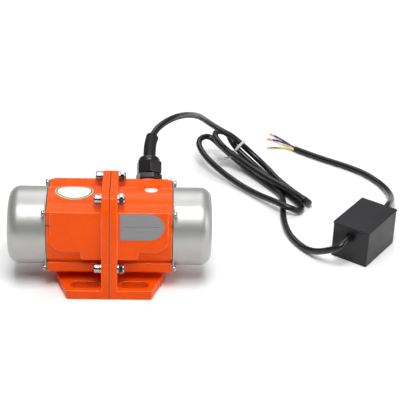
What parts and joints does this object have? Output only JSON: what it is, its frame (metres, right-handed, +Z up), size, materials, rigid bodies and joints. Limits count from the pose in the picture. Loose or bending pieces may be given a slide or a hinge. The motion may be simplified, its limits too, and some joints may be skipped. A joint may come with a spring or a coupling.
{
  "type": "vibration motor",
  "caption": "Foot-mounted vibration motor: bolted die-cast halves, eccentric weights under drawn end caps, side cable gland and supply lead with an in-line capacitor box.",
  "frame": {"origin": "on the mounting face, under the middle of the seam between the two housing halves", "axes": "+X along the shaft towards the half with the cable gland, +Y to the side that the gland leans to, +Z up from the mounting face"},
  "size_m": [0.4224, 0.3701, 0.1242],
  "materials": {
    "orange_paint": "gloss",
    "cap_metal": "satin",
    "gasket_rubber": "matte",
    "stainless_steel": "satin",
    "electrical_steel": "satin",
    "winding_copper": "gloss",
    "cast_aluminium": "satin",
    "shaft_steel": "satin",
    "bearing_steel": "gloss",
    "cage_brass": "satin",
    "weight_steel": "satin",
    "nameplate_metal": "satin",
    "label_plastic": "gloss",
    "gland_nylon": "satin",
    "cord_pvc": "satin",
    "tie_nylon": "satin",
    "box_plastic": "matte",
    "core_blue_pvc": "satin",
    "core_brown_pvc": "satin",
    "core_earth_pvc": "satin",
    "bare_copper": "satin"
  },
  "bodies": {
    "motor": {"bearing_outer_race_left": "bearing_steel", "bearing_outer_race_right": "bearing_steel", "bearing_wave_washer": "bearing_steel", "box_grommets": "gasket_rubber", "cable_sleeve": "cord_pvc", "cable_tie": "tie_nylon", "capacitor_box": "box_plastic", "capacitor_box_lid": "box_plastic", "core_blue": "core_blue_pvc", "core_brown": "core_brown_pvc", "core_earth": "core_earth_pvc", "core_tips": "bare_copper", "end_cap_gasket_left": "gasket_rubber", "end_cap_gasket_right": "gasket_rubber", "end_cap_left": "cap_metal", "end_cap_right": "cap_metal", "end_cap_screws_left": "stainless_steel", "end_cap_screws_right": "stainless_steel", "flange_bolts": "stainless_steel", "flange_nuts": "stainless_steel", "flange_spring_washers": "stainless_steel", "gland_body": "gland_nylon", "gland_nut": "gland_nylon", "gland_seal": "gasket_rubber", "housing_left": "orange_paint", "housing_right": "orange_paint", "inspection_label": "label_plastic", "motor_lead": "cord_pvc", "nameplate": "nameplate_metal", "oval_label": "label_plastic", "run_capacitor": "cast_aluminium", "stator_core": "electrical_steel", "stator_windings": "winding_copper", "supply_lead": "cord_pvc"},
    "rotor": {"shaft": "shaft_steel", "rotor_core": "electrical_steel", "rotor_cage": "cast_aluminium", "shaft_keys": "stainless_steel", "shaft_end_washers": "stainless_steel", "shaft_circlips": "stainless_steel", "bearing_inner_race_left": "bearing_steel", "bearing_inner_race_right": "bearing_steel", "bearing_spacer_left": "shaft_steel", "bearing_spacer_right": "shaft_steel", "fixed_weight_left": "weight_steel", "fixed_weight_right": "weight_steel"},
    "ball_set_left": {"bearing_balls_left": "bearing_steel", "bearing_cage_left": "cage_brass"},
    "ball_set_right": {"bearing_balls_right": "bearing_steel", "bearing_cage_right": "cage_brass"},
    "eccentric_left": {"adjustable_weight_left": "weight_steel", "weight_clamp_screw_left": "stainless_steel"},
    "eccentric_right": {"adjustable_weight_right": "weight_steel", "weight_clamp_screw_right": "stainless_steel"}
  },
  "joints": [
    {"name": "rotor_spin", "type": "hinge", "parent": "motor", "child": "rotor", "pos_m": [0, 0, 0.0555], "axis": [1, 0, 0], "continuous": true},
    {"name": "ball_set_left_spin", "type": "hinge", "parent": "motor", "child": "ball_set_left", "pos_m": [-0.0505, 0, 0.0555], "axis": [1, 0, 0], "continuous": true},
    {"name": "ball_set_right_spin", "type": "hinge", "parent": "motor", "child": "ball_set_right", "pos_m": [0.0505, 0, 0.0555], "axis": [1, 0, 0], "continuous": true},
    {"name": "eccentric_left_setting", "type": "hinge", "parent": "rotor", "child": "eccentric_left", "pos_m": [-0.0803, 0, 0.0555], "axis": [1, 0, 0], "range_deg": [0, 180]},
    {"name": "eccentric_right_setting", "type": "hinge", "parent": "rotor", "child": "eccentric_right", "pos_m": [0.0803, 0, 0.0555], "axis": [1, 0, 0], "range_deg": [0, 180]}
  ],
  "couplings": [
    {"joint": "ball_set_left_spin", "follows": "rotor_spin", "ratio": 0.382},
    {"joint": "ball_set_right_spin", "follows": "rotor_spin", "ratio": 0.382}
  ]
}
